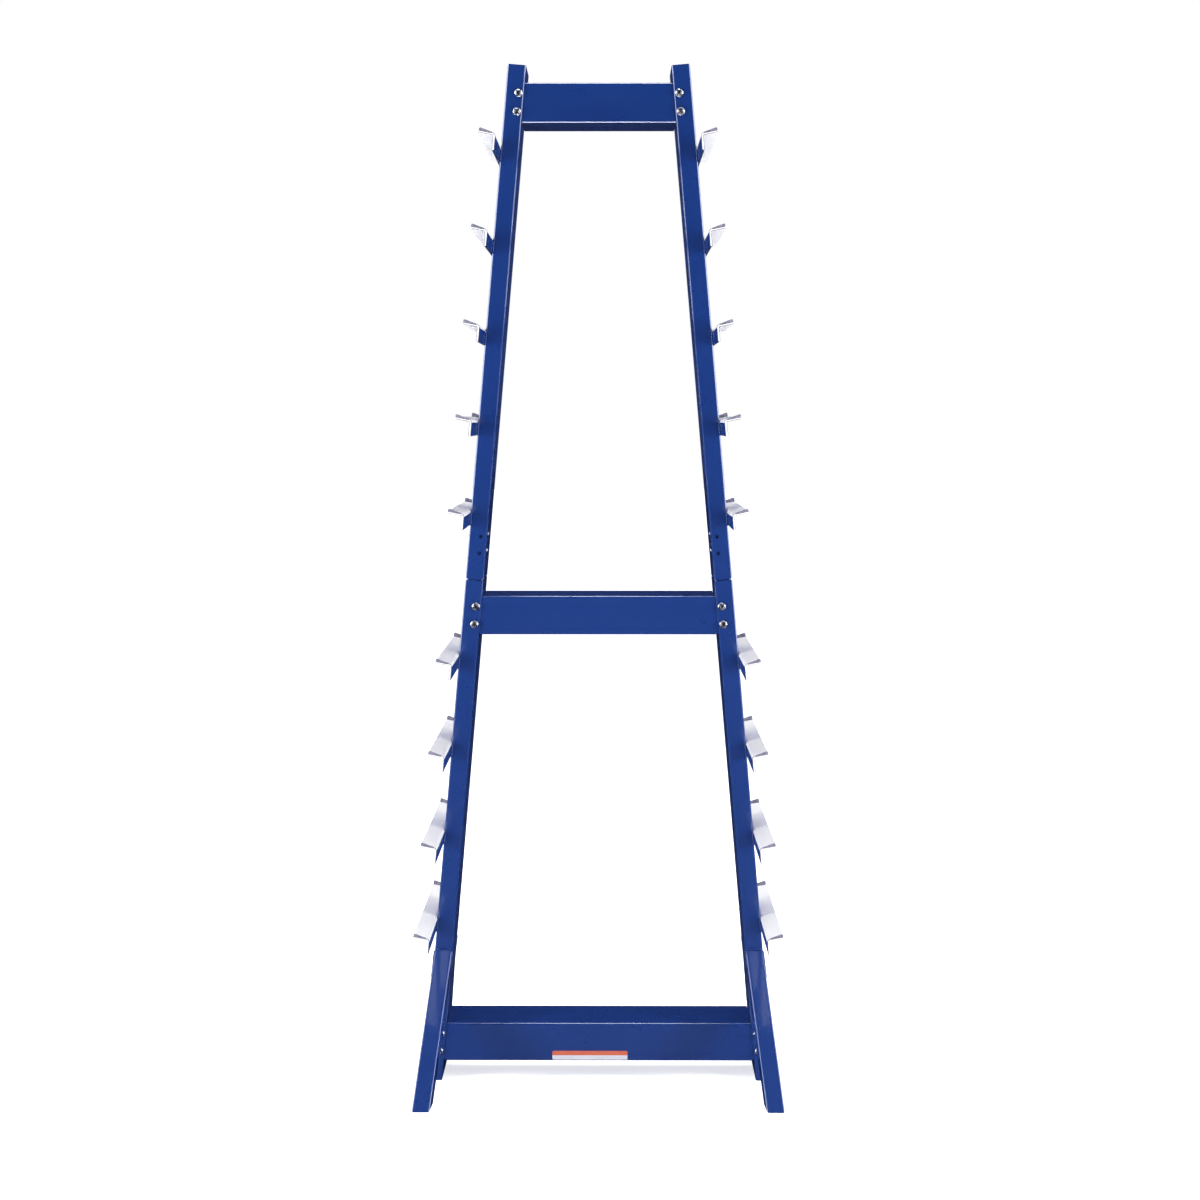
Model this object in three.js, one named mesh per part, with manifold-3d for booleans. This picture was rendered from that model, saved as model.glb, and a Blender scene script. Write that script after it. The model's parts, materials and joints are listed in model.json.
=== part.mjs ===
// A double-sided cantilever bar rack, floor standing, of bent and welded sheet steel.
// Millimetres, +Z up, front towards -Y. The origin is on the floor, in the middle of the rack.
//
// Two columns lean towards each other. Each is two C channels, one above the other, joined by a
// hidden splice. Three C-channel crossbars are bolted between the columns. Angle plates welded to
// the columns' outer sides run from front to back and carry bar stock. Four splayed channel legs
// are welded to the columns' faces and steady the rack from front to back.

import * as THREE from 'three';
import { mergeVertices } from 'three/addons/utils/BufferGeometryUtils.js';
import Module from 'manifold-3d';

// ---------------------------------------------------------------- driving dimensions

const HEIGHT = 2134; // floor to the outer top corners of the columns
const BASE_WIDTH = 745; // over the columns at the floor
const TOP_WIDTH = 375; // over the columns at full height
const FOOT_SPAN = 760; // over the legs' feet, side to side
const DEPTH = 610; // over the front and rear feet

const STEEL = 3; // sheet of the columns, crossbars, legs and splices
const BEND = 4.5; // outside radius of the bends in that sheet
const GAP = 0.3; // between pieces that touch
const CORNER = 4; // rounded corners of cut sheet ends

const COLUMN = { width: 38, depth: 152, seam: 1075, seamGap: 2.6 };
const CROSSBAR = { height: 81.5, back: 150.3, sideClearance: 1 };
const CROSSBAR_TOPS = { top: 2096, middle: 1035.3, bottom: 123.3 };

const BOLT = { inset: 27, rises: [22, 59.5], shankRadius: 4.75, headRadius: 8.75, headHeight: 5 };
const SOCKET = { acrossFlats: 7, depth: 3.2 };
const NUT = { acrossFlats: 14.3, height: 8.3, boreRadius: 5.1 };
const BOLT_HOLE_RADIUS = 5.3;
const SHANK_PAST_NUT = 3;

const ARM = { thickness: 4.8, bend: 6.5, web: 33, shelf: 33.65, riseDegrees: 6.35 };
const ARM_FRONT = 213.5; // from the columns' front faces forwards
const ARM_LENGTH = 525.5;
// The stops turned up at an arm's ends: their heights by the web and at the tip.
const LIP = { front: [1, 5], rear: [5, 9], thickness: 3, corner: 2.5 };
const ARM_ROWS = [
  { first: 1, count: 5, top: 1974.4, pitch: 188.5 },
  { first: 6, count: 4, top: 917.8, pitch: 187.5 },
];

const LEG = { width: 37, flange: 40, top: 283 };

const SPLICE = { bottom: 1044, top: 1196, depth: 25 };
const SPARE_HOLES = { inset: 25, radius: 4, heights: [1166.5, 1131.4] };
const RIVET = { setback: 14, radius: 2.4, headRadius: 4.8, headHeight: 3.2, tailRadius: 3.6 };
const RIVET_HEIGHTS = [1173, 1138];
const RIVET_TAIL = 2;

const LABEL = { width: 160, height: 19, thickness: 0.5, x: -19, rise: 2.7 };

// ---------------------------------------------------------------- values that follow from them

const FACE_Y = -COLUMN.depth / 2; // plane of the columns' front faces
const LEAN = Math.atan((BASE_WIDTH - TOP_WIDTH) / 2 / HEIGHT);
const COLUMN_LENGTH = HEIGHT / Math.cos(LEAN);
const BAR_Y = STEEL + GAP; // front of the crossbars, behind the columns' faces
const TAB_TRIM = BEND + GAP; // by which a crossbar's web tab is lower than the crossbar, each edge
const TAB_INSET = STEEL + BEND; // from a column's outer side to the end of the web tab
const FAR = 3000; // longer than the rack, for cutting blocks
const ROUND = 12; // sides of a round piece or hole
const BEND_STEPS = 2; // two chords each, in a bend

// ---------------------------------------------------------------- materials

const BLUE_ENAMEL = { color: 0x1f418c, roughness: 0.25, metalness: 0.1 };
const PALE_ENAMEL = { color: 0xe6e4eb, roughness: 0.35, metalness: 0 };
const ZINC = { color: 0xa9a9ae, roughness: 0.35, metalness: 0.9 };
const LABEL_FILM = { color: 0xcf6a4c, roughness: 0.5, metalness: 0 };

// ---------------------------------------------------------------- solids and booleans

const wasm = await Module();
wasm.setup();

function solid(geometry) {
  const bare = geometry.clone();
  bare.deleteAttribute('normal');
  bare.deleteAttribute('uv');
  const merged = mergeVertices(bare, 1e-4);
  return new wasm.Manifold(new wasm.Mesh({
    numProp: 3,
    vertProperties: new Float32Array(merged.attributes.position.array),
    triVerts: new Uint32Array(merged.index.array),
  }));
}

function geometryOf(manifold) {
  const mesh = manifold.getMesh();
  const geometry = new THREE.BufferGeometry();
  geometry.setAttribute('position', new THREE.BufferAttribute(mesh.vertProperties, 3));
  geometry.setIndex(new THREE.BufferAttribute(mesh.triVerts, 1));
  geometry.computeVertexNormals();
  return geometry;
}

function cut(geometry, tools) {
  const start = solid(geometry);
  return geometryOf(tools.reduce((rest, tool) => rest.subtract(solid(tool)), start));
}

function common(first, second) {
  return geometryOf(solid(first).intersect(solid(second)));
}

function join(first, second) {
  return geometryOf(solid(first).add(solid(second)));
}

// A mirror image has its triangles turned round, so that they still face out.
function mirrored(geometry, x, y) {
  const copy = geometry.index ? geometry.clone() : mergeVertices(geometry);
  copy.scale(x, y, 1);
  const index = copy.index.array;
  for (let i = 0; i < index.length; i += 3) {
    [index[i], index[i + 1]] = [index[i + 1], index[i]];
  }
  copy.computeVertexNormals();
  return copy;
}

function block(x0, x1, y0, y1, z0, z1) {
  const box = new THREE.BoxGeometry(x1 - x0, y1 - y0, z1 - z0);
  return box.translate((x0 + x1) / 2, (y0 + y1) / 2, (z0 + z1) / 2);
}

function extrude(shape, depth) {
  return new THREE.ExtrudeGeometry(shape, { depth, bevelEnabled: false, curveSegments: BEND_STEPS });
}

// The shape's x and y become X and Z, and it is extruded along Y.
function extrudeAlongY(shape, y0, y1) {
  return extrude(shape, y1 - y0).rotateX(Math.PI / 2).translate(0, y1, 0);
}

// A round bar along Y, for holes.
function roundAlongY(x, z, radius, y0, y1) {
  const cylinder = new THREE.CylinderGeometry(radius, radius, y1 - y0, ROUND);
  return cylinder.translate(x, (y0 + y1) / 2, z);
}

// A round bar along X, for holes.
function roundAlongX(y, z, radius, x0, x1) {
  const cylinder = new THREE.CylinderGeometry(radius, radius, x1 - x0, ROUND);
  return cylinder.rotateZ(Math.PI / 2).translate((x0 + x1) / 2, y, z);
}

// ---------------------------------------------------------------- profiles

// A C section: its web lies along x from 0 to width at y = 0, and its flanges reach y = depth.
function channelShape(width, depth) {
  const inside = BEND - STEEL;
  const shape = new THREE.Shape();
  shape.moveTo(0, depth);
  shape.lineTo(0, BEND);
  shape.absarc(BEND, BEND, BEND, Math.PI, 1.5 * Math.PI, false);
  shape.lineTo(width - BEND, 0);
  shape.absarc(width - BEND, BEND, BEND, 1.5 * Math.PI, 2 * Math.PI, false);
  shape.lineTo(width, depth);
  shape.lineTo(width - STEEL, depth);
  shape.lineTo(width - STEEL, BEND);
  shape.absarc(width - BEND, BEND, inside, 0, -0.5 * Math.PI, true);
  shape.lineTo(BEND, STEEL);
  shape.absarc(BEND, BEND, inside, 1.5 * Math.PI, Math.PI, true);
  shape.lineTo(STEEL, depth);
  shape.closePath();
  return shape;
}

function outline(points) {
  return new THREE.Shape(points.map(([x, y]) => new THREE.Vector2(x, y)));
}

// A rectangle whose outer corners, those at x1, are rounded where asked.
function plateOutline(x0, x1, z0, z1, roundBottom, roundTop) {
  const shape = new THREE.Shape();
  shape.moveTo(x0, z0);
  if (roundBottom) {
    shape.lineTo(x1 - CORNER, z0);
    shape.absarc(x1 - CORNER, z0 + CORNER, CORNER, -0.5 * Math.PI, 0, false);
  } else {
    shape.lineTo(x1, z0);
  }
  if (roundTop) {
    shape.lineTo(x1, z1 - CORNER);
    shape.absarc(x1 - CORNER, z1 - CORNER, CORNER, 0, 0.5 * Math.PI, false);
  } else {
    shape.lineTo(x1, z1);
  }
  shape.lineTo(x0, z1);
  shape.closePath();
  return shape;
}

// ---------------------------------------------------------------- the column frame
//
// A column's own frame stands on the floor at its outer side: x points out, square to the
// column, y points back from its front face, and z runs up along it.

function sideFrame(side) {
  const group = new THREE.Group();
  group.position.set(side * BASE_WIDTH / 2, FACE_Y, 0);
  group.rotation.y = -side * LEAN;
  return group;
}

// Height along the column of a point at this inset from its outer side and height off the floor.
function alongColumn(inset, height) {
  return (height + inset * Math.sin(LEAN)) / Math.cos(LEAN);
}

// X of a line parallel to the column's outer side, at this inset and height off the floor.
function leaningX(inset, height) {
  return BASE_WIDTH / 2 - height * Math.tan(LEAN) - inset / Math.cos(LEAN);
}

function crossbarBottom(name) {
  return CROSSBAR_TOPS[name] - CROSSBAR.height;
}

// ---------------------------------------------------------------- pieces, right-hand side

// Everything below the floor, in the column's frame.
function belowFloor() {
  const ground = block(-FAR, FAR, -FAR, FAR, -FAR, 0);
  return ground.rotateY(LEAN);
}

// The opening in a column's inner flange through which a crossbar's web tab passes.
function tabSlot(name) {
  const clearance = 1;
  const bottom = alongColumn(COLUMN.width, crossbarBottom(name) + TAB_TRIM) - clearance;
  const top = alongColumn(COLUMN.width, CROSSBAR_TOPS[name] - TAB_TRIM) + clearance;
  const back = BAR_Y + STEEL + clearance;
  return block(-COLUMN.width - 1, -COLUMN.width + BEND, STEEL, back, bottom, top);
}

function boltPlaces(name) {
  return BOLT.rises.map((rise) => alongColumn(BOLT.inset, crossbarBottom(name) + rise));
}

function columnBoltHoles(name) {
  return boltPlaces(name).map((z) => roundAlongY(-BOLT.inset, z, BOLT_HOLE_RADIUS, -1, STEEL + 1));
}

function columnSection(z0, z1, roundBottom, roundTop, crossbars, extraTools) {
  const bar = extrude(channelShape(COLUMN.width, COLUMN.depth), z1 - z0);
  bar.translate(-COLUMN.width, 0, z0);
  const ends = plateOutline(-COLUMN.width, 0, z0, z1, roundBottom, roundTop);
  const shaped = common(bar, extrudeAlongY(ends, -1, COLUMN.depth + 1));
  const slots = crossbars.map(tabSlot);
  const holes = crossbars.flatMap(columnBoltHoles);
  return cut(shaped, [...slots, ...holes, ...extraTools]);
}

function lowerColumn() {
  const top = COLUMN.seam - COLUMN.seamGap / 2;
  return columnSection(-BEND, top, false, true, ['middle', 'bottom'], [belowFloor()]);
}

function upperColumn() {
  const bottom = COLUMN.seam + COLUMN.seamGap / 2;
  const spare = SPARE_HOLES.heights.map(
    (z) => roundAlongY(-SPARE_HOLES.inset, z, SPARE_HOLES.radius, -1, STEEL + 1));
  return columnSection(bottom, COLUMN_LENGTH, true, true, ['top'], [...spare, ...rivetHoles()]);
}

function rivetHoles() {
  const radius = RIVET.radius + GAP;
  return RIVET_HEIGHTS.map(
    (z) => roundAlongX(RIVET.setback, z, radius, -COLUMN.width - 1, -COLUMN.width + 2 * STEEL + 2));
}

// The sleeve inside the seam: a small channel nested in both column sections.
function splice() {
  const width = COLUMN.width - 2 * (STEEL + GAP);
  const channel = extrude(channelShape(width, SPLICE.depth), SPLICE.top - SPLICE.bottom);
  channel.translate(-COLUMN.width + STEEL + GAP, STEEL + GAP, SPLICE.bottom);
  return cut(channel, rivetHoles());
}

// A rivet along x through the column's inner flange and the splice, its dome towards the rack's
// middle and its upset tail inside.
function rivet() {
  const tailStart = 2 * (STEEL + GAP) + GAP;
  const profile = [
    [0, -RIVET.headHeight],
    [RIVET.headRadius * 0.55, -RIVET.headHeight * 0.86],
    [RIVET.headRadius * 0.88, -RIVET.headHeight * 0.5],
    [RIVET.headRadius, 0],
    [RIVET.radius, 0],
    [RIVET.radius, tailStart],
    [RIVET.tailRadius, tailStart],
    [RIVET.tailRadius, tailStart + RIVET_TAIL],
    [0, tailStart + RIVET_TAIL],
  ];
  const turned = new THREE.LatheGeometry(profile.map(([r, y]) => new THREE.Vector2(r, y)), ROUND);
  return turned.rotateZ(-Math.PI / 2);
}

// An angle plate, its web flat on the column's outer side and its shelf sloping up to the tip,
// with a low stop at each end.
// Its corner, where the web's line meets the shelf's upper face, is at z = 0.
function arm() {
  const { thickness, bend, web, shelf, riseDegrees } = ARM;
  const rise = THREE.MathUtils.degToRad(riseDegrees);
  const cos = Math.cos(rise);
  const sin = Math.sin(rise);
  const cx = GAP + bend;
  const cz = -bend * (1 - sin) / cos;
  const shape = new THREE.Shape();
  shape.moveTo(GAP, -web);
  shape.lineTo(GAP, cz);
  shape.absarc(cx, cz, bend, Math.PI, 0.5 * Math.PI + rise, true);
  shape.lineTo(GAP + shelf * cos, shelf * sin);
  shape.lineTo(GAP + shelf * cos + thickness * sin, shelf * sin - thickness * cos);
  shape.absarc(cx, cz, bend - thickness, 0.5 * Math.PI + rise, Math.PI, false);
  shape.lineTo(GAP + thickness, -web);
  shape.closePath();
  const back = ARM_LENGTH - ARM_FRONT;
  const plate = extrudeAlongY(shape, -ARM_FRONT, back);
  const withFront = join(plate, lip(LIP.front, -ARM_FRONT, -ARM_FRONT + LIP.thickness, rise));
  return join(withFront, lip(LIP.rear, back - LIP.thickness, back, rise));
}

// The stop at an end of an arm's shelf. It stands on the shelf, higher at the tip than by the
// web, with its outer corner rounded.
function lip([low, high], y0, y1, rise) {
  const { bend, thickness, shelf } = ARM;
  const { corner } = LIP;
  const shape = new THREE.Shape();
  shape.moveTo(bend, -thickness / 2);
  shape.lineTo(shelf, -thickness / 2);
  shape.lineTo(shelf, high - corner);
  shape.absarc(shelf - corner, high - corner, corner, 0, 0.5 * Math.PI, false);
  shape.lineTo(bend, low);
  shape.closePath();
  return extrudeAlongY(shape, y0, y1).rotateY(-rise).translate(GAP, 0, 0);
}

// A leg from the column's front face down to the floor, in the rack's own frame. It is cut
// upright where it meets the column, and level at the floor.
function frontLeg() {
  const footY = -DEPTH / 2;
  const footX = FOOT_SPAN / 2 - LEG.width;
  const topX = leaningX(0, LEG.top) - LEG.width;
  const foot = new THREE.Vector3(footX, footY, 0);
  const run = new THREE.Vector3(topX, FACE_Y, LEG.top).sub(foot);
  const along = run.clone().normalize();
  const across = new THREE.Vector3(1, 0, 0);
  const behind = along.clone().cross(across).normalize();
  const overshoot = 0.25;
  const place = new THREE.Matrix4().makeBasis(across, behind, along);
  place.setPosition(foot.clone().addScaledVector(run, -overshoot));
  const length = run.length() * (1 + 2 * overshoot);
  const channel = extrude(channelShape(LEG.width, LEG.flange), length).applyMatrix4(place);
  return common(channel, extrudeAlongY(legOutline(footX, topX), footY - 1, FACE_Y - GAP));
}

// The leg seen from the front, with the rounded corners of its foot.
function legOutline(footX, topX) {
  const slope = (topX - footX) / LEG.top;
  const top = 2 * LEG.top;
  const shape = new THREE.Shape();
  shape.moveTo(footX + CORNER, 0);
  shape.lineTo(footX + LEG.width - CORNER, 0);
  shape.quadraticCurveTo(footX + LEG.width, 0, footX + LEG.width + slope * CORNER, CORNER);
  shape.lineTo(footX + LEG.width + slope * top, top);
  shape.lineTo(footX + slope * top, top);
  shape.lineTo(footX + slope * CORNER, CORNER);
  shape.quadraticCurveTo(footX, 0, footX + CORNER, 0);
  return shape;
}

// ---------------------------------------------------------------- fasteners, along y

// A button-head bolt: its head's underside is at y = 0 and its shank points along +y.
function bolt() {
  const shank = BAR_Y + STEEL + 2 * GAP + NUT.height + SHANK_PAST_NUT;
  const { headRadius, headHeight, shankRadius } = BOLT;
  const profile = [
    [0, -headHeight],
    [headRadius * 0.5, -headHeight],
    [headRadius * 0.78, -headHeight * 0.78],
    [headRadius * 0.95, -headHeight * 0.42],
    [headRadius, -headHeight * 0.12],
    [headRadius, 0],
    [shankRadius, 0],
    [shankRadius, shank - 1],
    [shankRadius - 1, shank],
    [0, shank],
  ];
  const turned = new THREE.LatheGeometry(profile.map(([r, y]) => new THREE.Vector2(r, y)), ROUND);
  const socket = hexagon(SOCKET.acrossFlats);
  return cut(turned, [extrudeAlongY(socket, -headHeight - 1, SOCKET.depth - headHeight)]);
}

// Its flats face sideways, so that a nut clears the column's flange.
function hexagon(acrossFlats) {
  const radius = acrossFlats / Math.sqrt(3);
  const corners = [0, 1, 2, 3, 4, 5].map((i) => ((i + 0.5) * Math.PI) / 3);
  return outline(corners.map((angle) => [radius * Math.cos(angle), radius * Math.sin(angle)]));
}

function nut() {
  const shape = hexagon(NUT.acrossFlats);
  const bore = new THREE.Path();
  bore.absarc(0, 0, NUT.boreRadius, 0, 2 * Math.PI, false);
  shape.holes.push(bore);
  const options = { depth: NUT.height, bevelEnabled: false, curveSegments: ROUND / 2 };
  const prism = new THREE.ExtrudeGeometry(shape, options);
  return prism.rotateX(Math.PI / 2).translate(0, NUT.height, 0);
}

// ---------------------------------------------------------------- crossbars

// The area between two lines parallel to the columns' outer sides.
function leaningPanel(inset, z0, z1) {
  const [low, high] = [leaningX(inset, z0), leaningX(inset, z1)];
  return outline([[-low, z0], [low, z0], [high, z1], [-high, z1]]);
}

// A channel whose flanges stop at the columns and whose web runs on behind the columns' faces.
function crossbar(name) {
  const z0 = crossbarBottom(name);
  const z1 = CROSSBAR_TOPS[name];
  const turn = new THREE.Matrix4().makeBasis(
    new THREE.Vector3(0, 0, 1), new THREE.Vector3(0, 1, 0), new THREE.Vector3(-1, 0, 0));
  const profile = channelShape(CROSSBAR.height, CROSSBAR.back - BAR_Y);
  const channel = extrude(profile, BASE_WIDTH).applyMatrix4(turn).translate(BASE_WIDTH / 2, BAR_Y, z0);
  const between = leaningPanel(COLUMN.width + CROSSBAR.sideClearance, z0 - 1, z1 + 1);
  const body = common(channel, extrudeAlongY(between, 0, COLUMN.depth));
  const tabs = extrudeAlongY(leaningPanel(TAB_INSET, z0 + TAB_TRIM, z1 - TAB_TRIM), BAR_Y, BAR_Y + STEEL);
  const holes = [-1, 1].flatMap((side) => crossbarBoltHoles(name, side));
  return cut(join(body, tabs), holes).translate(0, FACE_Y, 0);
}

function crossbarBoltHoles(name, side) {
  return BOLT.rises.map((rise) => {
    const z = crossbarBottom(name) + rise;
    return roundAlongY(side * leaningX(BOLT.inset, z), z, BOLT_HOLE_RADIUS, 0, BAR_Y + 2 * STEEL);
  });
}

function labelPlate() {
  const z0 = crossbarBottom('bottom') + LABEL.rise;
  const y1 = FACE_Y + BAR_Y - GAP;
  const x0 = LABEL.x - LABEL.width / 2;
  return block(x0, x0 + LABEL.width, y1 - LABEL.thickness, y1, z0, z0 + LABEL.height);
}

// ---------------------------------------------------------------- assembly

const rack = new THREE.Group();

function addPiece(parent, name, geometry, finish, position = [0, 0, 0]) {
  const mesh = new THREE.Mesh(geometry, new THREE.MeshStandardMaterial(finish));
  mesh.name = name;
  mesh.position.set(...position);
  parent.add(mesh);
}

function addColumnPieces(frame, side, hand, right) {
  const handed = (geometry) => (side > 0 ? geometry : mirrored(geometry, -1, 1));
  addPiece(frame, `upper_column_${hand}`, handed(right.upper), BLUE_ENAMEL);
  addPiece(frame, `lower_column_${hand}`, handed(right.lower), BLUE_ENAMEL);
  addPiece(frame, `splice_${hand}`, handed(right.splice), BLUE_ENAMEL);
  RIVET_HEIGHTS.forEach((z, i) => {
    const place = [-side * (COLUMN.width + GAP), RIVET.setback, z];
    addPiece(frame, `splice_rivet_${hand}_${i + 1}`, handed(right.rivet), ZINC, place);
  });
  for (const row of ARM_ROWS) {
    for (let i = 0; i < row.count; i += 1) {
      const place = [0, 0, row.top - i * row.pitch];
      addPiece(frame, `arm_${hand}_${row.first + i}`, handed(right.arm), PALE_ENAMEL, place);
    }
  }
}

function addFasteners(frame, side, hand, boltGeometry, nutGeometry) {
  for (const name of Object.keys(CROSSBAR_TOPS)) {
    boltPlaces(name).forEach((z, i) => {
      const x = -side * BOLT.inset;
      const nutY = BAR_Y + STEEL + GAP;
      const end = i === 0 ? 'low' : 'high';
      addPiece(frame, `bolt_${name}_${hand}_${end}`, boltGeometry, ZINC, [x, -GAP, z]);
      addPiece(frame, `nut_${name}_${hand}_${end}`, nutGeometry, ZINC, [x, nutY, z]);
    });
  }
}

const rightPieces = {
  upper: upperColumn(),
  lower: lowerColumn(),
  splice: splice(),
  rivet: rivet(),
  arm: arm(),
};
const boltGeometry = bolt();
const nutGeometry = nut();
const legGeometry = frontLeg();

for (const [side, hand] of [[-1, 'left'], [1, 'right']]) {
  const frame = sideFrame(side);
  addColumnPieces(frame, side, hand, rightPieces);
  addFasteners(frame, side, hand, boltGeometry, nutGeometry);
  rack.add(frame);
  const front = side > 0 ? legGeometry : mirrored(legGeometry, -1, 1);
  addPiece(rack, `front_leg_${hand}`, front, BLUE_ENAMEL);
  addPiece(rack, `rear_leg_${hand}`, mirrored(front, 1, -1), BLUE_ENAMEL);
}

for (const name of Object.keys(CROSSBAR_TOPS)) {
  addPiece(rack, `crossbar_${name}`, crossbar(name), BLUE_ENAMEL);
}
addPiece(rack, 'label_plate', labelPlate(), LABEL_FILM);

export default rack;
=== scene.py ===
# Visual model of a double-sided cantilever bar rack: blue enamelled sheet steel, zinc fasteners,
# one plain label. Metres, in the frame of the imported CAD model.

import json
import math
import random

import bmesh
import bpy
from mathutils import Matrix, Vector, noise

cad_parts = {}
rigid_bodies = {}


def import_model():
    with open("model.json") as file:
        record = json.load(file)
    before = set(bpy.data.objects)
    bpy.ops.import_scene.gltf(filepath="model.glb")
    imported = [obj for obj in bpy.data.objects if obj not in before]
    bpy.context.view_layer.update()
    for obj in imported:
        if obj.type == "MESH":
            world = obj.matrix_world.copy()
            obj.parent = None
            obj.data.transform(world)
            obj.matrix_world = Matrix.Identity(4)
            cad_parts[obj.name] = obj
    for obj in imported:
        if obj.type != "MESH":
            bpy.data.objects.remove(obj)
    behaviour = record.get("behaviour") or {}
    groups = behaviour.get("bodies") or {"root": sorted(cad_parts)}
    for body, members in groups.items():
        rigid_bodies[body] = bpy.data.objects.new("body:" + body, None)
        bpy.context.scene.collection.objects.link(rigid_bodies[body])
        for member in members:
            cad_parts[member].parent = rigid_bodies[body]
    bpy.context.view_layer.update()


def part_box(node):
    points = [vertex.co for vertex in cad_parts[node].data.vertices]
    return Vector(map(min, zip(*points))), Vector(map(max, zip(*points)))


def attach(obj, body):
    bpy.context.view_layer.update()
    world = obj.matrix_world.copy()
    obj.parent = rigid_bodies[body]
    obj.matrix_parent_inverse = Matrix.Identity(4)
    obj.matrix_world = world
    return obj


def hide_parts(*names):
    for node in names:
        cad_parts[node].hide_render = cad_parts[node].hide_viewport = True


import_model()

# ---------------------------------------------------------------- dimensions shared with the CAD

FACE_Y = -0.076  # plane of the columns' front faces
HALF_BASE = 0.3725  # from the middle to a column's outer side, at the floor
LEAN = math.atan(0.185 / 2.134)
COLUMN_DEPTH = 0.152
COLUMN_WIDTH = 0.038
COLUMN_LENGTH = 2.134 / math.cos(LEAN)
SEAM = 1.075
SEAM_GAP = 0.0026
STEEL = 0.003
BEND = 0.0045
CORNER = 0.004
GAP = 0.0003
SPARE_HOLES = (1.1665, 1.1314)
SPARE_HOLE_INSET = 0.025
SPARE_HOLE_RADIUS = 0.004
SPLICE_SPAN = (1.044, 1.196)
SPLICE_DEPTH = 0.025
SIDES = {"left": -1, "right": 1}
CROSSBARS = {"top": 2.096, "middle": 1.0353, "bottom": 0.1233}
CROSSBAR_HEIGHT = 0.0815
CROSSBAR_DEPTH = 0.147
CROSSBAR_Y = FACE_Y + STEEL + GAP
SIDE_CLEARANCE = 0.001
ARM_TOPS = [1.9744 - 0.1885 * i for i in range(5)] + [0.9178 - 0.1875 * i for i in range(4)]
ARM_WEB = 0.033
ARM_SHELF = 0.03365
ARM_RISE = math.radians(6.35)
ARM_THICKNESS = 0.0048
ARM_BEND = 0.0065
ARM_FRONT = -0.2135
ARM_BACK = 0.312
LIP_HEIGHTS = {"front": (0.001, 0.005), "rear": (0.005, 0.009)}  # by the web, and at the tip
LIP_THICKNESS = 0.003
LIP_CORNER = 0.0025
LEG_WIDTH = 0.037
LEG_FLANGE = 0.040
LEG_TOP = 0.283
LEG_FOOT_OUT = 0.380
HALF_DEPTH = 0.305
HEAD_HEIGHT = 0.005
HEAD_RADIUS = 0.00875
SHANK_RADIUS = 0.00475
SHANK_LENGTH = 0.0183
SOCKET_FLATS = 0.007
SOCKET_DEPTH = 0.0032
NUT_FLATS = 0.0143
NUT_HEIGHT = 0.0083
THREAD_PITCH = 0.0015
THREAD_DEPTH = 0.0005
RIVET_HEAD_RADIUS = 0.0048
RIVET_HEAD_HEIGHT = 0.0032

SEED = 11
EASE = 0.0004  # how far the edges of cut sheet are eased
END_EASE = 0.0011  # the same at an arm's ends, wider, as the strip that takes the painted shade
BEND_STEPS = 6


def leaning_x(inset, z):
    """X of a line parallel to a column's outer side, at this inset and height."""
    return HALF_BASE - z * math.tan(LEAN) - inset / math.cos(LEAN)


def column_point(side, out, back, up):
    """A place given square to a column: outwards from its outer side, back from its face, up."""
    x = HALF_BASE + out * math.cos(LEAN) - up * math.sin(LEAN)
    return Vector((side * x, FACE_Y + back, out * math.sin(LEAN) + up * math.cos(LEAN)))


# ---------------------------------------------------------------- materials


class Shader:
    """A Principled material with a short way to add and link nodes."""

    def __init__(self, name):
        self.material = bpy.data.materials.new(name)
        self.material.use_nodes = True
        self.tree = self.material.node_tree
        self.bsdf = next(n for n in self.tree.nodes if n.type == "BSDF_PRINCIPLED")
        self.place = self.node("ShaderNodeTexCoord").outputs["Object"]

    def node(self, kind, **values):
        made = self.tree.nodes.new(kind)
        for key, value in values.items():
            setattr(made, key, value)
        return made

    def link(self, source, target):
        self.tree.links.new(source, target)

    def set(self, **values):
        for key, value in values.items():
            self.bsdf.inputs[key.replace("_", " ")].default_value = value

    def noise(self, scale, detail=2.0, rough=0.5, stretch=None):
        made = self.node("ShaderNodeTexNoise")
        made.inputs["Scale"].default_value = scale
        made.inputs["Detail"].default_value = detail
        made.inputs["Roughness"].default_value = rough
        place = self.place
        if stretch:
            mapping = self.node("ShaderNodeMapping")
            mapping.inputs["Scale"].default_value = stretch
            self.link(place, mapping.inputs["Vector"])
            place = mapping.outputs["Vector"]
        self.link(place, made.inputs["Vector"])
        return made.outputs["Fac"]

    def between(self, fac, low, high, start=0.0, end=1.0):
        """A number that goes from low to high as fac goes from start to end."""
        made = self.node("ShaderNodeMapRange")
        made.inputs["From Min"].default_value = start
        made.inputs["From Max"].default_value = end
        made.inputs["To Min"].default_value = low
        made.inputs["To Max"].default_value = high
        self.link(fac, made.inputs["Value"])
        return made.outputs["Result"]

    def mix(self, fac, first, second):
        made = self.node("ShaderNodeMix", data_type="RGBA")
        self.link(fac, made.inputs["Factor"])
        for socket, value in ((made.inputs[6], first), (made.inputs[7], second)):
            if isinstance(value, tuple):
                socket.default_value = (*value, 1.0)
            else:
                self.link(value, socket)
        return made.outputs[2]

    def height(self, *layers):
        """Bump from (fac, metres) layers, added one on another."""
        normal = None
        for fac, distance in layers:
            bump = self.node("ShaderNodeBump")
            bump.inputs["Distance"].default_value = distance
            self.link(fac, bump.inputs["Height"])
            if normal is not None:
                self.link(normal, bump.inputs["Normal"])
            normal = bump.outputs["Normal"]
        self.link(normal, self.bsdf.inputs["Normal"])


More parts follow.
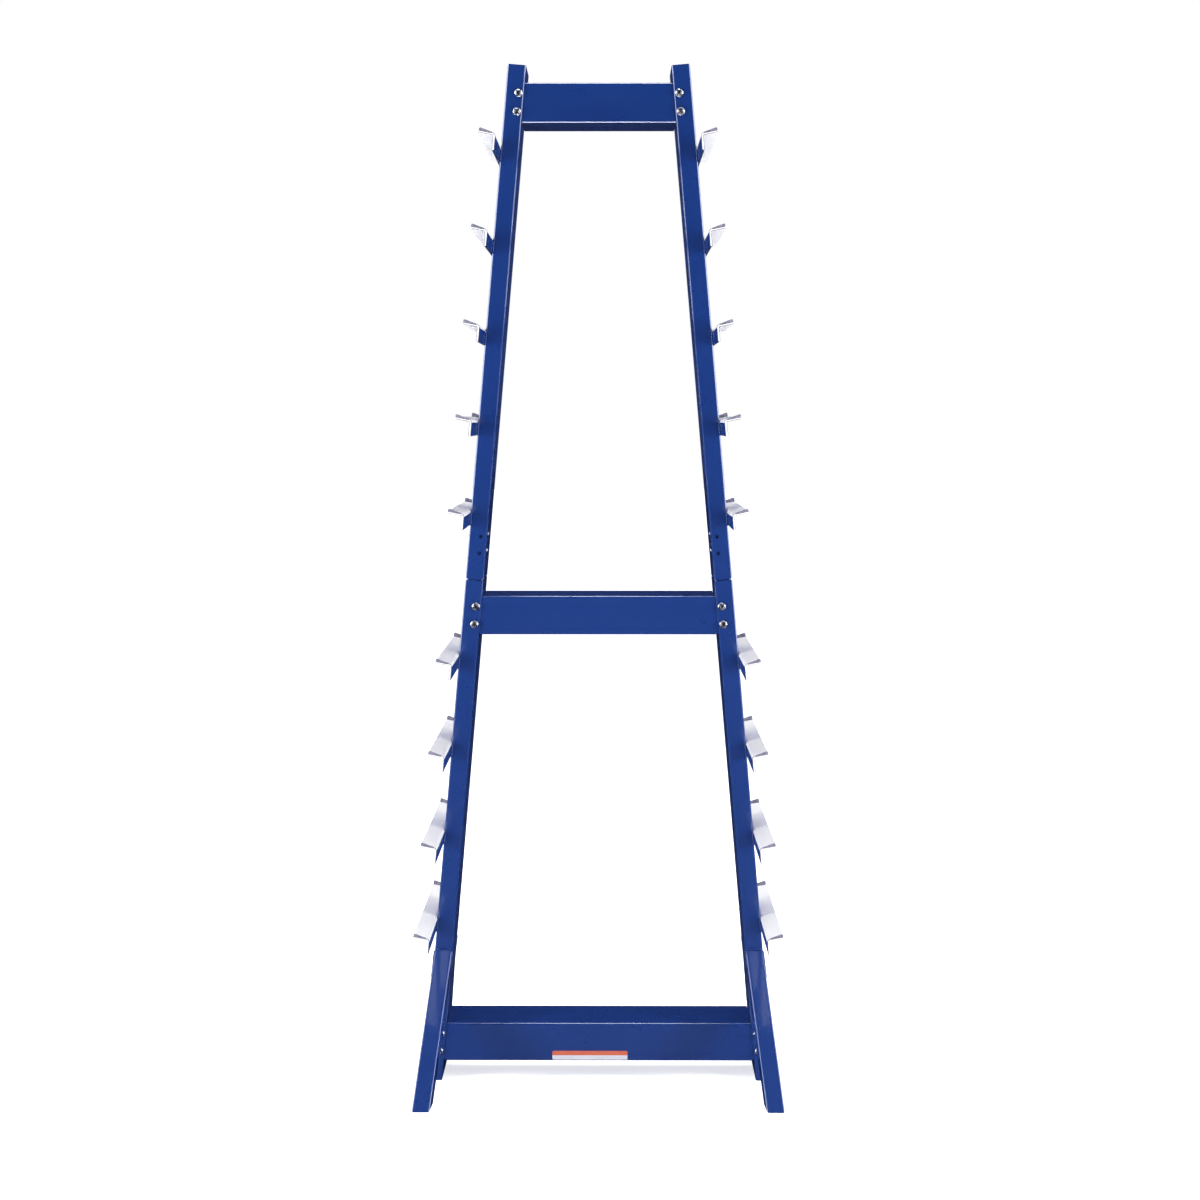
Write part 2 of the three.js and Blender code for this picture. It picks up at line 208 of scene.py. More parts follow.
def blue_enamel(name, orange_peel):
    s = Shader(name)
    s.set(Metallic=0.0, IOR=1.5, Coat_Weight=0.6, Coat_Roughness=0.06)
    clouds = s.between(s.noise(3.0, 3.0), 0, 1, 0.3, 0.7)
    base = s.mix(clouds, (0.0050, 0.0275, 0.152), (0.0058, 0.0300, 0.162))
    s.link(base, s.bsdf.inputs["Base Color"])
    s.link(s.between(s.noise(12.0, 2.0), 0.27, 0.30, 0.3, 0.7), s.bsdf.inputs["Roughness"])
    s.height((s.noise(420.0, 1.5), orange_peel))
    return s.material


def painted_shade_grey(name, dark, light):
    """Blotchy grey with a hint of the blue: painted shade on an arm's eased ends and stops, for the dark
    lines and shade there.
    """
    s = Shader(name)
    s.set(Metallic=0.0, IOR=1.5, Roughness=0.45)
    blotches = s.between(s.noise(160.0, 4.0, 0.65), 0, 1, 0.35, 0.65)
    s.link(s.mix(blotches, dark, light), s.bsdf.inputs["Base Color"])
    s.height((s.noise(700.0, 2.0), 0.00008))
    return s.material


def pale_enamel(name):
    s = Shader(name)
    s.set(Metallic=0.0, IOR=1.5, Coat_Weight=0.2, Coat_Roughness=0.2)
    clouds = s.between(s.noise(11.0, 4.0, 0.6, (1.0, 0.35, 1.0)), 0, 1, 0.35, 0.65)
    base = s.mix(clouds, (0.86, 0.85, 0.87), (0.89, 0.88, 0.90))
    scuffs = s.between(s.noise(90.0, 5.0, 0.7, (1.0, 0.12, 1.0)), 0, 0.5, 0.62, 0.80)
    base = s.mix(scuffs, base, (0.74, 0.73, 0.78))
    s.link(base, s.bsdf.inputs["Base Color"])
    s.link(s.between(s.noise(26.0, 3.0), 0.30, 0.44, 0.3, 0.7), s.bsdf.inputs["Roughness"])
    s.height((s.noise(420.0, 1.5), 0.0001))
    return s.material


def zinc(name):
    s = Shader(name)
    s.set(Metallic=1.0, IOR=1.5)
    tone = s.mix(s.noise(260.0, 3.0), (0.48, 0.475, 0.46), (0.70, 0.70, 0.72))
    s.link(tone, s.bsdf.inputs["Base Color"])
    s.link(s.between(s.noise(500.0, 2.0), 0.36, 0.50, 0.3, 0.7), s.bsdf.inputs["Roughness"])
    s.height((s.noise(1600.0, 2.0), 0.00004))
    return s.material


def label_film(name, split):
    """Orange above the split height and white below it."""
    s = Shader(name)
    s.set(Metallic=0.0, IOR=1.46, Roughness=0.35, Coat_Weight=0.3, Coat_Roughness=0.2)
    apart = s.node("ShaderNodeSeparateXYZ")
    s.link(s.place, apart.inputs["Vector"])
    above = s.between(apart.outputs["Z"], 0.0, 1.0, split - 0.0002, split + 0.0002)
    fade = s.noise(60.0, 3.0)
    orange = s.mix(fade, (0.42, 0.080, 0.042), (0.52, 0.115, 0.060))
    white = s.mix(fade, (0.44, 0.44, 0.50), (0.53, 0.53, 0.58))
    s.link(s.mix(above, white, orange), s.bsdf.inputs["Base Color"])
    s.height((s.noise(300.0, 2.0), 0.00005))
    return s.material


def floor_paint(name):
    """A pale matt floor, lit evenly from below. Glossy paint mirrors it as dark."""
    s = Shader(name)
    s.set(Metallic=0.0, Roughness=0.9, Specular_IOR_Level=0.0)
    ray = s.node("ShaderNodeLightPath").outputs
    bounce = s.mix(ray["Is Glossy Ray"], (0.93, 0.93, 0.94), (0.01, 0.012, 0.03))
    seen = s.mix(s.noise(1.5, 2.0), (0.95, 0.95, 0.955), (0.97, 0.97, 0.975))
    s.link(s.mix(ray["Is Camera Ray"], bounce, seen), s.bsdf.inputs["Base Color"])
    s.set(Emission_Color=(1.0, 1.0, 1.0, 1.0))
    s.link(s.between(ray["Is Glossy Ray"], 0.7, 0.0), s.bsdf.inputs["Emission Strength"])
    return s.material


ENAMEL = blue_enamel("blue_enamel", 0.000008)
WELD_ENAMEL = blue_enamel("blue_enamel_weld", 0.00015)
# Dark grey on an arm's eased end strips is painted shade, for the dark lines along its ends.
EDGE_SHADE = painted_shade_grey("arm_edge_painted_shade", (0.045, 0.040, 0.075), (0.13, 0.12, 0.17))
# Lighter grey on an arm's stops is painted shade, for the shade that falls on them.
LIP = painted_shade_grey("arm_stop_painted_shade", (0.11, 0.11, 0.17), (0.24, 0.235, 0.31))
PALE = pale_enamel("pale_enamel")
ZINC = zinc("zinc")

# ---------------------------------------------------------------- mesh helpers


def finished(name, bm, materials, nodes=(), smooth=True):
    """Makes an object of a bmesh, on the rack's one body."""
    bmesh.ops.recalc_face_normals(bm, faces=bm.faces)
    mesh = bpy.data.meshes.new(name)
    bm.to_mesh(mesh)
    bm.free()
    for material in materials if isinstance(materials, list) else [materials]:
        mesh.materials.append(material)
    for polygon in mesh.polygons:
        polygon.use_smooth = smooth
    made = bpy.data.objects.new(name, mesh)
    bpy.context.scene.collection.objects.link(made)
    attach(made, "root")
    if nodes:
        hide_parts(*nodes)
    return made


def lathe(bm, profile, steps):
    """Turns (radius, y) points about the y axis. The ends are closed where the radius is 0."""
    rings = []
    for radius, y in profile:
        if radius == 0:
            rings.append([bm.verts.new((0, y, 0))])
            continue
        turns = [2 * math.pi * i / steps for i in range(steps)]
        rings.append([bm.verts.new((radius * math.cos(t), y, radius * math.sin(t))) for t in turns])
    bridge(bm, rings)


def bridge(bm, rings):
    """Faces between rings of the same length, or between a ring and a point."""
    for first, second in zip(rings, rings[1:]):
        count = max(len(first), len(second))
        for i in range(count):
            j = (i + 1) % count
            corners = [first[i % len(first)], first[j % len(first)]]
            corners += [second[j % len(second)], second[i % len(second)]]
            bm.faces.new(list(dict.fromkeys(corners)))


def middle_of(node):
    low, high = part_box(node)
    return (low + high) / 2, low, high


# ---------------------------------------------------------------- sheet steel


def channel_pairs(width, depth):
    """A C section as pairs of matching points on its outer and inner sides, from tip to tip."""
    half = [
        ((EASE, depth), (STEEL - EASE, depth)),
        ((0, depth - EASE), (STEEL, depth - EASE)),
    ]
    for i in range(BEND_STEPS + 1):
        turn = math.pi * (1 + i / BEND_STEPS / 2)
        toward = Vector((math.cos(turn), math.sin(turn)))
        centre = Vector((BEND, BEND))
        half.append((tuple(centre + toward * BEND), tuple(centre + toward * (BEND - STEEL))))
    return half + [tuple((width - x, y) for x, y in pair) for pair in reversed(half)]


def swept(bm, pairs, place, start, end, ease=EASE):
    """A section swept from start(x, y) to end(x, y) along its third coordinate, edges eased."""
    rings = []
    for limit, step, inset in ((start, 0, ease), (start, ease, 0), (end, -ease, 0), (end, 0, ease)):
        outer, inner = [], []
        for first, second in pairs:
            first, second = Vector(first), Vector(second)
            shift = (second - first).normalized() * min(inset, (second - first).length / 3)
            outer.append(first + shift)
            inner.append(second - shift)
        loop = outer + inner[::-1]
        rings.append([bm.verts.new(place(p.x, p.y, limit(p.x, p.y) + step)) for p in loop])
    bridge(bm, rings)
    last = 2 * len(pairs) - 1
    for ring in (rings[0], rings[-1]):
        for i in range(len(pairs) - 1):
            bm.faces.new((ring[i], ring[i + 1], ring[last - i - 1], ring[last - i]))
    return rings


def corner_drop(distance):
    """How far a rounded corner falls short of the square one, this far from the side."""
    short = min(CORNER, max(0.0, CORNER - distance))
    return CORNER - math.sqrt(CORNER**2 - short**2)


def even_shading(made):
    made.modifiers.new("normals", "WEIGHTED_NORMAL")
    return made


def holed(bm, pegs):
    """The same mesh with round pegs (centre, axis, radius, length) cut out of it."""
    first = bpy.data.meshes.new("sheet")
    bmesh.ops.recalc_face_normals(bm, faces=bm.faces)
    bm.to_mesh(first)
    bm.free()
    sheet = bpy.data.objects.new("sheet", first)
    tools = bpy.data.collections.new("pegs")
    bpy.context.scene.collection.objects.link(sheet)
    bpy.context.scene.collection.children.link(tools)
    for centre, axis, radius, length in pegs:
        peg = bmesh.new()
        turn = Vector((0, 0, 1)).rotation_difference(axis).to_matrix().to_4x4()
        bmesh.ops.create_cone(
            peg, cap_ends=True, segments=24, radius1=radius, radius2=radius, depth=length,
            matrix=Matrix.Translation(centre) @ turn)
        mesh = bpy.data.meshes.new("peg")
        peg.to_mesh(mesh)
        peg.free()
        tools.objects.link(bpy.data.objects.new("peg", mesh))
    cut = sheet.modifiers.new("cut", "BOOLEAN")
    cut.operation = "DIFFERENCE"
    cut.operand_type = "COLLECTION"
    cut.collection = tools
    cut.solver = "EXACT"
    result = bmesh.new()
    result.from_object(sheet, bpy.context.evaluated_depsgraph_get())
    for extra in [sheet, *tools.objects]:
        bpy.data.objects.remove(extra)
    bpy.data.collections.remove(tools)
    return result


def column(hand, part):
    side = SIDES[hand]
    bm = bmesh.new()

    def place(x, y, up):
        return column_point(side, x - COLUMN_WIDTH, y, up)

    def outer_drop(x):
        return corner_drop(COLUMN_WIDTH - x)

    pairs = channel_pairs(COLUMN_WIDTH, COLUMN_DEPTH)
    if part == "lower_column":
        swept(
            bm, pairs, place,
            lambda x, y: (COLUMN_WIDTH - x) * math.tan(LEAN),
            lambda x, y: SEAM - SEAM_GAP / 2 - outer_drop(x))
    else:
        swept(
            bm, pairs, place,
            lambda x, y: SEAM + SEAM_GAP / 2 + outer_drop(x),
            lambda x, y: COLUMN_LENGTH - outer_drop(x))
        axis = Vector((0, 1, 0))
        bm = holed(bm, [
            (column_point(side, -SPARE_HOLE_INSET, STEEL / 2, up), axis, SPARE_HOLE_RADIUS, 3 * STEEL)
            for up in SPARE_HOLES])
    node = f"{part}_{hand}"
    return even_shading(finished(f"{node}_sheet", bm, ENAMEL, [node]))


def splice(hand):
    side = SIDES[hand]
    clear = STEEL + GAP
    bm = bmesh.new()

    def place(x, y, up):
        return column_point(side, x - COLUMN_WIDTH + clear, y + clear, up)

    pairs = channel_pairs(COLUMN_WIDTH - 2 * clear, SPLICE_DEPTH)
    swept(bm, pairs, place, lambda x, y: SPLICE_SPAN[0], lambda x, y: SPLICE_SPAN[1])
    return even_shading(finished(f"splice_{hand}_sheet", bm, ENAMEL, [f"splice_{hand}"]))


def leg(hand, end):
    """A splayed channel, cut level at the floor and upright at the column."""
    side = SIDES[hand]
    facing = {"front": 1, "rear": -1}[end]
    foot = Vector((LEG_FOOT_OUT - LEG_WIDTH, -HALF_DEPTH, 0))
    along = (Vector((leaning_x(0, LEG_TOP) - LEG_WIDTH, FACE_Y, LEG_TOP)) - foot).normalized()
    across = Vector((1, 0, 0))
    behind = along.cross(across).normalized()
    bm = bmesh.new()

    def place(x, y, t):
        point = foot + across * x + behind * y + along * t
        return Vector((side * point.x, facing * point.y, point.z))

    def level(x, y):
        return (corner_drop(min(x, LEG_WIDTH - x)) - y * behind.z) / along.z

    def upright(x, y):
        return (FACE_Y - GAP - foot.y - y * behind.y) / along.y

    swept(bm, channel_pairs(LEG_WIDTH, LEG_FLANGE), place, level, upright)
    node = f"{end}_leg_{hand}"
    return even_shading(finished(f"{node}_sheet", bm, ENAMEL, [node]))


def crossbar(bar):
    """A channel between the columns, with web tabs that run on behind their faces."""
    z0 = CROSSBARS[bar] - CROSSBAR_HEIGHT
    bm = bmesh.new()

    def place(p, q, t):
        return Vector((t, CROSSBAR_Y + q, z0 + p))

    def reach(p, q):
        return leaning_x(COLUMN_WIDTH + SIDE_CLEARANCE, z0 + p)

    pairs = channel_pairs(CROSSBAR_HEIGHT, CROSSBAR_DEPTH)
    swept(bm, pairs, place, lambda p, q: -reach(p, q), reach)
    trim = BEND + GAP
    for side in SIDES.values():
        rings = []
        for p in (trim, CROSSBAR_HEIGHT - trim):
            ends = (reach(p, 0) - 0.002, leaning_x(STEEL + BEND, z0 + p))
            corners = [(ends[0], 0.0001), (ends[1], 0), (ends[1], STEEL), (ends[0], STEEL - 0.0001)]
            rings.append([bm.verts.new(place(p, q, side * t)) for t, q in corners])
        bridge(bm, rings)
        bm.faces.new(rings[0])
        bm.faces.new(rings[1])
    node = f"crossbar_{bar}"
    return even_shading(finished(f"{node}_sheet", bm, ENAMEL, [node]))


def arm_pairs():
    """An arm's section: first its upper and inner side, then its lower and outer side."""
    sin, cos = math.sin(ARM_RISE), math.cos(ARM_RISE)
    centre = Vector((GAP + ARM_BEND, -ARM_BEND * (1 - sin) / cos))
    inner = ARM_BEND - ARM_THICKNESS
    near, far = GAP, GAP + ARM_THICKNESS
    pairs = [((near + EASE, -ARM_WEB), (far - EASE, -ARM_WEB))]
    pairs.append(((near, -ARM_WEB + EASE), (far, -ARM_WEB + EASE)))
    for i in range(BEND_STEPS + 1):
        turn = math.pi - (math.pi / 2 - ARM_RISE) * i / BEND_STEPS
        toward = Vector((math.cos(turn), math.sin(turn)))
        pairs.append((tuple(centre + toward * ARM_BEND), tuple(centre + toward * inner)))
    along, down = Vector((cos, sin)), Vector((sin, -cos)) * ARM_THICKNESS
    top = Vector((GAP, 0))
    tip = top + along * (ARM_SHELF - EASE)
    pairs.append((tuple(tip), tuple(tip + down)))
    tip = top + along * ARM_SHELF
    pairs.append((tuple(tip + down * 0.09), tuple(tip + down * 0.91)))
    return pairs


def arm_lip(bm, place, heights, y0, y1):
    """A stop at an end of an arm's shelf, higher at the tip, with a rounded outer corner."""
    before = set(bm.faces)
    sin, cos = math.sin(ARM_RISE), math.cos(ARM_RISE)
    along, up = Vector((cos, sin)), Vector((-sin, cos))
    low, high = heights
    outline = [(ARM_BEND, -0.002), (ARM_SHELF - 0.0003, -0.002)]
    for i in range(5):
        turn = math.pi / 8 * i
        outline.append((
            ARM_SHELF - LIP_CORNER + LIP_CORNER * math.cos(turn),
            high - LIP_CORNER + LIP_CORNER * math.sin(turn)))
    outline.append((ARM_BEND, low))
    points = [Vector((GAP, 0)) + along * s + up * h for s, h in outline]
    middle = sum(points, Vector((0, 0))) / len(points)
    rings = []
    for y, ease in ((y0, EASE), (y0 + EASE, 0), (y1 - EASE, 0), (y1, EASE)):
        ring = []
        for point in points:
            moved = point + (middle - point).normalized() * ease
            ring.append(bm.verts.new(place(moved.x, moved.y, y)))
        rings.append(ring)
    bridge(bm, rings)
    bm.faces.new(rings[0])
    bm.faces.new(rings[-1])
    inner = {v for ring in rings[1:3] for v in ring}
    for face in set(bm.faces) - before:
        # A stop's faces take the grey painted shade, and its eased strips take the darker painted shade.
        face.material_index = 3 if sum(v in inner for v in face.verts) in (0, 4) else 2


def arm(hand, number):
    """Pale shelf and cut ends, blue web, dark painted shade on the eased edges round both ends, and grey
    stops in painted shade.
    """
    side, top = SIDES[hand], ARM_TOPS[number - 1]
    bm = bmesh.new()

    def place(x, z, y):
        return column_point(side, x, y, top + z)

    pairs = arm_pairs()
    rings = swept(bm, pairs, place, lambda x, z: ARM_FRONT, lambda x, z: ARM_BACK, END_EASE)
    last = len(rings[0]) - 1
    web = {ring[i] for ring in rings[1:3] for i in (0, 1, 2, last - 2, last - 1, last)}
    ends = {v for ring in (rings[0], rings[-1]) for v in ring}
    for face in bm.faces:
        if all(v in web for v in face.verts):
            face.material_index = 1
        # Eased strips round both ends take the dark grey painted shade.
        elif sum(v in ends for v in face.verts) == 2:
            face.material_index = 2
    arm_lip(bm, place, LIP_HEIGHTS["front"], ARM_FRONT, ARM_FRONT + LIP_THICKNESS)
    arm_lip(bm, place, LIP_HEIGHTS["rear"], ARM_BACK - LIP_THICKNESS, ARM_BACK)
    node = f"arm_{hand}_{number}"
    return even_shading(finished(f"{node}_plate", bm, [PALE, ENAMEL, EDGE_SHADE, LIP], [node]))


# ---------------------------------------------------------------- fasteners


def hex_radius(across_flats, turn):
    """Distance from the middle of a hexagon to its side, in the direction turn."""
    sector = math.pi / 3
    return across_flats / 2 / math.cos((turn + sector / 2) % sector - sector / 2)


def bolt(node, lean):
    """A button head with a hexagon socket, and a threaded shank."""
    steps = 48
    centre, low, _ = middle_of(node)
    bm = bmesh.new()
    turns = [2 * math.pi * i / steps for i in range(steps)]

    def ring(radius_of, y):
        return [bm.verts.new((radius_of(t) * math.cos(t), y, radius_of(t) * math.sin(t))) for t in turns]

    middle = SOCKET_DEPTH - HEAD_HEIGHT + 0.0009
    edge = SOCKET_DEPTH - HEAD_HEIGHT + 0.0003
    socket = [(0.3, middle), (0.96, edge), (1.0, edge - 0.0002), (1.0, -HEAD_HEIGHT + 0.0003)]
    dome = [
        (0.55, 1.0), (0.68, 0.93), (0.80, 0.78), (0.90, 0.56),
        (0.965, 0.32), (0.995, 0.12), (1.0, 0.04), (0.985, 0.0)]
    rings = [[bm.verts.new((0, middle, 0))]]
    for share, y in socket:
        rings.append(ring(lambda t, k=share: k * hex_radius(SOCKET_FLATS, t), y))
    rings.append(ring(lambda t: 0.5 * hex_radius(SOCKET_FLATS, t) + 0.0024, -HEAD_HEIGHT))
    for share, height in dome:
        rings.append(ring(lambda t, k=share: k * HEAD_RADIUS, -HEAD_HEIGHT * height))
    rings.append(ring(lambda t: SHANK_RADIUS, 0.0))
    y = 0.0065
    rings.append(ring(lambda t: SHANK_RADIUS, y))
    while y < SHANK_LENGTH - 0.0008:
        def groove(t, y=y):
            phase = (y / THREAD_PITCH - t / (2 * math.pi)) % 1.0
            return SHANK_RADIUS - THREAD_DEPTH * abs(2 * phase - 1)
        rings.append(ring(groove, y + 0.0001))
        y += THREAD_PITCH / 4
    rings.append(ring(lambda t: SHANK_RADIUS - 0.0009, SHANK_LENGTH))
    rings.append([bm.verts.new((0, SHANK_LENGTH, 0))])
    bridge(bm, rings)
    place = Matrix.Translation((centre.x, low.y + HEAD_HEIGHT, centre.z)) @ Matrix.Rotation(lean, 4, "Y")
    bm.transform(place)
    return finished(f"{node}_detail", bm, ZINC, [node])


def nut(node, lean):
    """A hexagon nut with turned corners."""
    steps = 48
    centre, low, _ = middle_of(node)
    bm = bmesh.new()
    turns = [2 * math.pi * i / steps for i in range(steps)]
    corner = NUT_FLATS / math.sqrt(3)

    def ring(limit, y):
        points = []
        for t in turns:
            radius = min(limit, hex_radius(NUT_FLATS, t))
            points.append(bm.verts.new((radius * math.cos(t), y, radius * math.sin(t))))
        return points

    bore = SHANK_RADIUS + GAP
    levels = [
        (bore, 0.0), (NUT_FLATS / 2 * 0.98, 0.0), (corner * 0.95, 0.0004), (corner, 0.0011),
        (corner, NUT_HEIGHT - 0.0011), (corner * 0.95, NUT_HEIGHT - 0.0004),
        (NUT_FLATS / 2 * 0.98, NUT_HEIGHT), (bore + 0.0005, NUT_HEIGHT), (bore, NUT_HEIGHT - 0.0005),
        (bore, 0.0),
    ]
    rings = [ring(limit, y) for limit, y in levels[:-1]]
    bridge(bm, [*rings, rings[0]])
    bm.transform(Matrix.Translation((centre.x, low.y, centre.z)) @ Matrix.Rotation(lean, 4, "Y"))
    return finished(f"{node}_detail", bm, ZINC, [node])


def rivet(node, side):
    """A domed head towards the rack's middle, and an upset tail."""
    centre, low, high = middle_of(node)
    bm = bmesh.new()
    radius, height = RIVET_HEAD_RADIUS, RIVET_HEAD_HEIGHT
    profile = [(0, -height)]
    for i in range(1, 9):
        turn = math.pi / 2 * i / 8
        profile.append((radius * math.sin(turn), -height * math.cos(turn)))
    profile += [(0.0024, 0.0), (0.0024, 0.0069), (0.0034, 0.0070)]
    profile += [(0.0036, 0.0078), (0.0030, 0.0089), (0, 0.0089)]
    lathe(bm, profile, 32)
    length = profile[-1][1] + height
    out = Vector((side * math.cos(LEAN), 0, math.sin(LEAN)))
    start = centre - out * (length / 2 - height)
    turn = Vector((0, 1, 0)).rotation_difference(out).to_matrix().to_4x4()
    bm.transform(Matrix.Translation(start) @ turn)
    return finished(f"{node}_detail", bm, ZINC, [node])


# ---------------------------------------------------------------- welds


def bead(bm, start, end, radius, rng):
    """A rippled weld bead from start to end, tapered at both ends."""
    run = end - start
    length = run.length
    along = run.normalized()
    side = along.orthogonal().normalized()
    up = along.cross(side)
    count = max(6, int(length / 0.0009))
    steps = 10
    drift = rng.uniform(0, 50)
    rings = []
    for i in range(count + 1):
        t = i / count
        ripple = abs(math.sin(math.pi * t * length / 0.0046 + drift))
        taper = min(1.0, 0.45 + 9 * min(t, 1 - t))
        size = radius * taper * (0.76 + 0.36 * ripple + 0.10 * noise.noise(Vector((drift, t * 14, 0))))
        centre = start + run * t + side * noise.noise(Vector((drift, t * 9, 7))) * radius * 0.25
        ring = []
        for j in range(steps):
            turn = 2 * math.pi * j / steps
            offset = (side * math.cos(turn) + up * math.sin(turn)) * size
            ring.append(bm.verts.new(centre + offset))
        rings.append(ring)
    first = bm.verts.new(start - along * radius * 0.3)
    last = bm.verts.new(end + along * radius * 0.3)
    bridge(bm, [[first], *rings, [last]])


def arm_welds(hand, number):
    """Upright beads where an arm's web crosses the column's front bend and back edge."""
    side, top = SIDES[hand], ARM_TOPS[number - 1]
    rng = random.Random(SEED + 10 * number + side)
    bm = bmesh.new()
    low, high = top - ARM_WEB + 0.001, top - 0.006
    bead(bm, column_point(side, -0.0006, 0.0006, low), column_point(side, -0.0006, 0.0006, high), 0.0026, rng)
    back = COLUMN_DEPTH + 0.0004
    bead(bm, column_point(side, -0.0006, back, low), column_point(side, -0.0006, back, high), 0.0025, rng)
    return finished(f"arm_weld_{hand}_{number}", bm, WELD_ENAMEL)


def leg_welds(hand, end):
    """Beads beside and over a leg's top, where it meets the column."""
    side = SIDES[hand]
    facing = {"front": -1, "rear": 1}[end]
    rng = random.Random(SEED + 500 + side + 3 * facing)
    y = facing * (0.0006 - FACE_Y)
    slope = (HALF_BASE - LEG_TOP * math.tan(LEAN) - LEG_FOOT_OUT) / LEG_TOP

    def edge(out, z):
        return Vector((side * (LEG_FOOT_OUT + slope * z - out), y, z))

    bm = bmesh.new()
    bottom, top = 0.222, LEG_TOP - 0.002
    bead(bm, edge(-0.0004, bottom), edge(-0.0004, top), 0.0019, rng)
    bead(bm, edge(LEG_WIDTH + 0.0004, bottom), edge(LEG_WIDTH + 0.0004, top), 0.0019, rng)
    bead(bm, edge(0.004, LEG_TOP + 0.0006), edge(LEG_WIDTH - 0.004, LEG_TOP + 0.0006), 0.0021, rng)
    return finished(f"leg_weld_{hand}_{end}", bm, WELD_ENAMEL)


# ---------------------------------------------------------------- label


def label():
    """A thin film with rounded corners."""
    centre, low, high = middle_of("label_plate")
    radius = 0.0025
    corners = [
        (high.x - radius, high.z - radius, 0), (low.x + radius, high.z - radius, 1),
        (low.x + radius, low.z + radius, 2), (high.x - radius, low.z + radius, 3)]
    bm = bmesh.new()
    rings = []
    for y, inset in ((high.y, 0.0), (low.y + 0.00012, 0.0), (low.y, 0.00012)):
        ring = []
        for x, z, quarter in corners:
            for i in range(7):
                turn = math.pi / 2 * (quarter + i / 6)
                reach = radius - inset
                ring.append(bm.verts.new((x + reach * math.cos(turn), y, z + reach * math.sin(turn))))
        rings.append(ring)
    bridge(bm, rings)
    bm.faces.new(rings[0])
    bm.faces.new(rings[-1])
    split = low.z + 0.5 * (high.z - low.z)
    film = label_film("label_film", split)
    return finished("label_film", bm, film, ["label_plate"], smooth=False)


# ---------------------------------------------------------------- assembly

for hand, side in SIDES.items():
    column(hand, "upper_column")
    column(hand, "lower_column")
    splice(hand)
    for number in range(1, len(ARM_TOPS) + 1):
        arm(hand, number)
        arm_welds(hand, number)
    for end in ("front", "rear"):
        leg(hand, end)
        leg_welds(hand, end)
    for number in (1, 2):
        rivet(f"splice_rivet_{hand}_{number}", side)
    for bar in CROSSBARS:
        for level in ("low", "high"):
            bolt(f"bolt_{bar}_{hand}_{level}", -side * LEAN)
            nut(f"nut_{bar}_{hand}_{level}", -side * LEAN)
for bar in CROSSBARS:
    crossbar(bar)
label()

# ---------------------------------------------------------------- floor, light and camera


def floor():
    bm = bmesh.new()
    bmesh.ops.create_circle(bm, cap_ends=True, radius=40.0, segments=96)
    mesh = bpy.data.meshes.new("floor")
    bm.to_mesh(mesh)
    bm.free()
    mesh.materials.append(floor_paint("floor_paint"))
    made = bpy.data.objects.new("floor", mesh)
    bpy.context.scene.collection.objects.link(made)


def softbox(name, place, aim, size, power, lights=True, mirrored=True, spread=180):
    lamp = bpy.data.lights.new(name, "AREA")
    lamp.shape = "RECTANGLE"
    lamp.size, lamp.size_y = size
    lamp.energy = power
    lamp.spread = math.radians(spread)
    made = bpy.data.objects.new(name, lamp)
    made.location = place
    made.rotation_euler = (Vector(aim) - Vector(place)).to_track_quat("-Z", "Y").to_euler()
    made.visible_diffuse = lights
    made.visible_glossy = mirrored
    made.visible_camera = False
    bpy.context.scene.collection.objects.link(made)


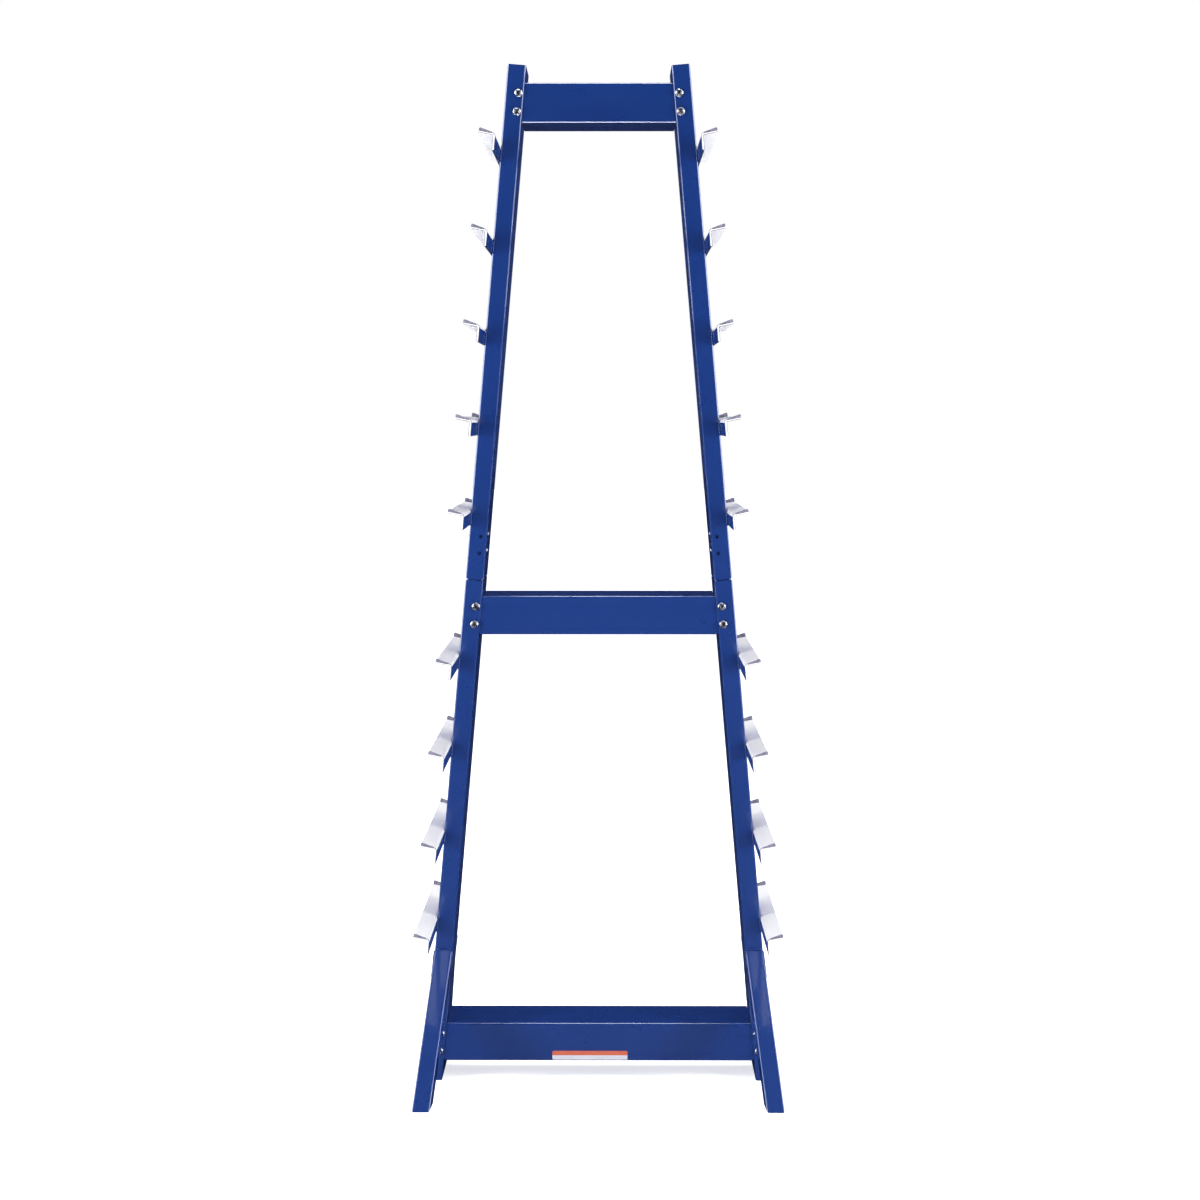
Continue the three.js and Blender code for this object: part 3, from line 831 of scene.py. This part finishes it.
def studio():
    """A white room lit softly from its ceiling. Glossy paint mirrors it as dark walls with a light
    on each side and one overhead."""
    world = bpy.data.worlds.new("studio")
    world.use_nodes = True
    tree = world.node_tree
    tree.nodes.clear()
    node, link = tree.nodes.new, tree.links.new
    place = node("ShaderNodeTexCoord").outputs["Generated"]
    apart = node("ShaderNodeSeparateXYZ")
    link(place, apart.inputs["Vector"])

    def smooth(value, start, end, low=0.0, high=1.0):
        made = node("ShaderNodeMapRange")
        made.interpolation_type = "SMOOTHSTEP"
        link(value, made.inputs["Value"])
        for name, number in (("From Min", start), ("From Max", end), ("To Min", low), ("To Max", high)):
            made.inputs[name].default_value = number
        return made.outputs["Result"]

    def blend(fac, first, second):
        made = node("ShaderNodeMix")
        made.data_type = "RGBA"
        link(fac, made.inputs["Factor"])
        if isinstance(first, tuple):
            made.inputs[6].default_value = first
        else:
            link(first, made.inputs[6])
        made.inputs[7].default_value = second
        return made.outputs[2]

    def shade(color, strength):
        made = node("ShaderNodeBackground")
        for value, socket in ((color, made.inputs["Color"]), (strength, made.inputs["Strength"])):
            if isinstance(value, (tuple, float)):
                socket.default_value = value
            else:
                link(value, socket)
        return made.outputs["Background"]

    def choose(fac, first, second):
        made = node("ShaderNodeMixShader")
        link(fac, made.inputs["Fac"])
        link(first, made.inputs[1])
        link(second, made.inputs[2])
        return made.outputs["Shader"]

    aside = node("ShaderNodeMath")
    aside.operation = "ABSOLUTE"
    link(apart.outputs["X"], aside.inputs[0])
    overhead = node("ShaderNodeVectorMath")
    overhead.operation = "DOT_PRODUCT"
    overhead.inputs[1].default_value = (0.0, 0.09, 0.996)
    link(place, overhead.inputs[0])
    sides = smooth(aside.outputs["Value"], 0.80, 0.90)
    above = smooth(overhead.outputs["Value"], 0.95, 0.97)
    walls = blend(sides, (0.018, 0.027, 0.085, 1.0), (9.0, 9.2, 10.0, 1.0))
    mirrored = blend(above, walls, (17.0, 17.3, 18.5, 1.0))
    light = shade((0.97, 0.98, 1.0, 1.0), smooth(apart.outputs["Z"], 0.5, 0.85, 0.10, 1.15))
    ray = node("ShaderNodeLightPath").outputs
    unseen = choose(ray["Is Glossy Ray"], light, shade(mirrored, 1.0))
    output = node("ShaderNodeOutputWorld")
    link(choose(ray["Is Camera Ray"], unseen, shade((1.0, 1.0, 1.0, 1.0), 1.0)), output.inputs["Surface"])
    bpy.context.scene.world = world


floor()
studio()
softbox("side_left", (-2.7, -1.4, 1.5), (0, 0, 1.3), (0.6, 1.4), 80, mirrored=False)
softbox("side_right", (2.7, -1.4, 1.5), (0, 0, 1.3), (0.6, 1.4), 80, mirrored=False)
softbox("above", (0.0, 2.8, 3.6), (0, 0, 0.6), (3.4, 1.2), 120, mirrored=False)
softbox("under_top_bar", (0.0, 0.03, 1.2), (0, 0, 2.0), (0.44, 0.28), 1, lights=False, spread=40)

lens = bpy.data.cameras.new("camera")
lens.lens = 69.0
lens.sensor_width = 36.0
camera = bpy.data.objects.new("camera", lens)
camera.location = (0.0289, -4.879, 1.4106)
camera.rotation_euler = (math.pi / 2 - 0.0797, 0.0, 0.0055)
bpy.context.scene.collection.objects.link(camera)
bpy.context.scene.camera = camera
bpy.context.scene.view_settings.view_transform = "Standard"

bpy.context.view_layer.update()
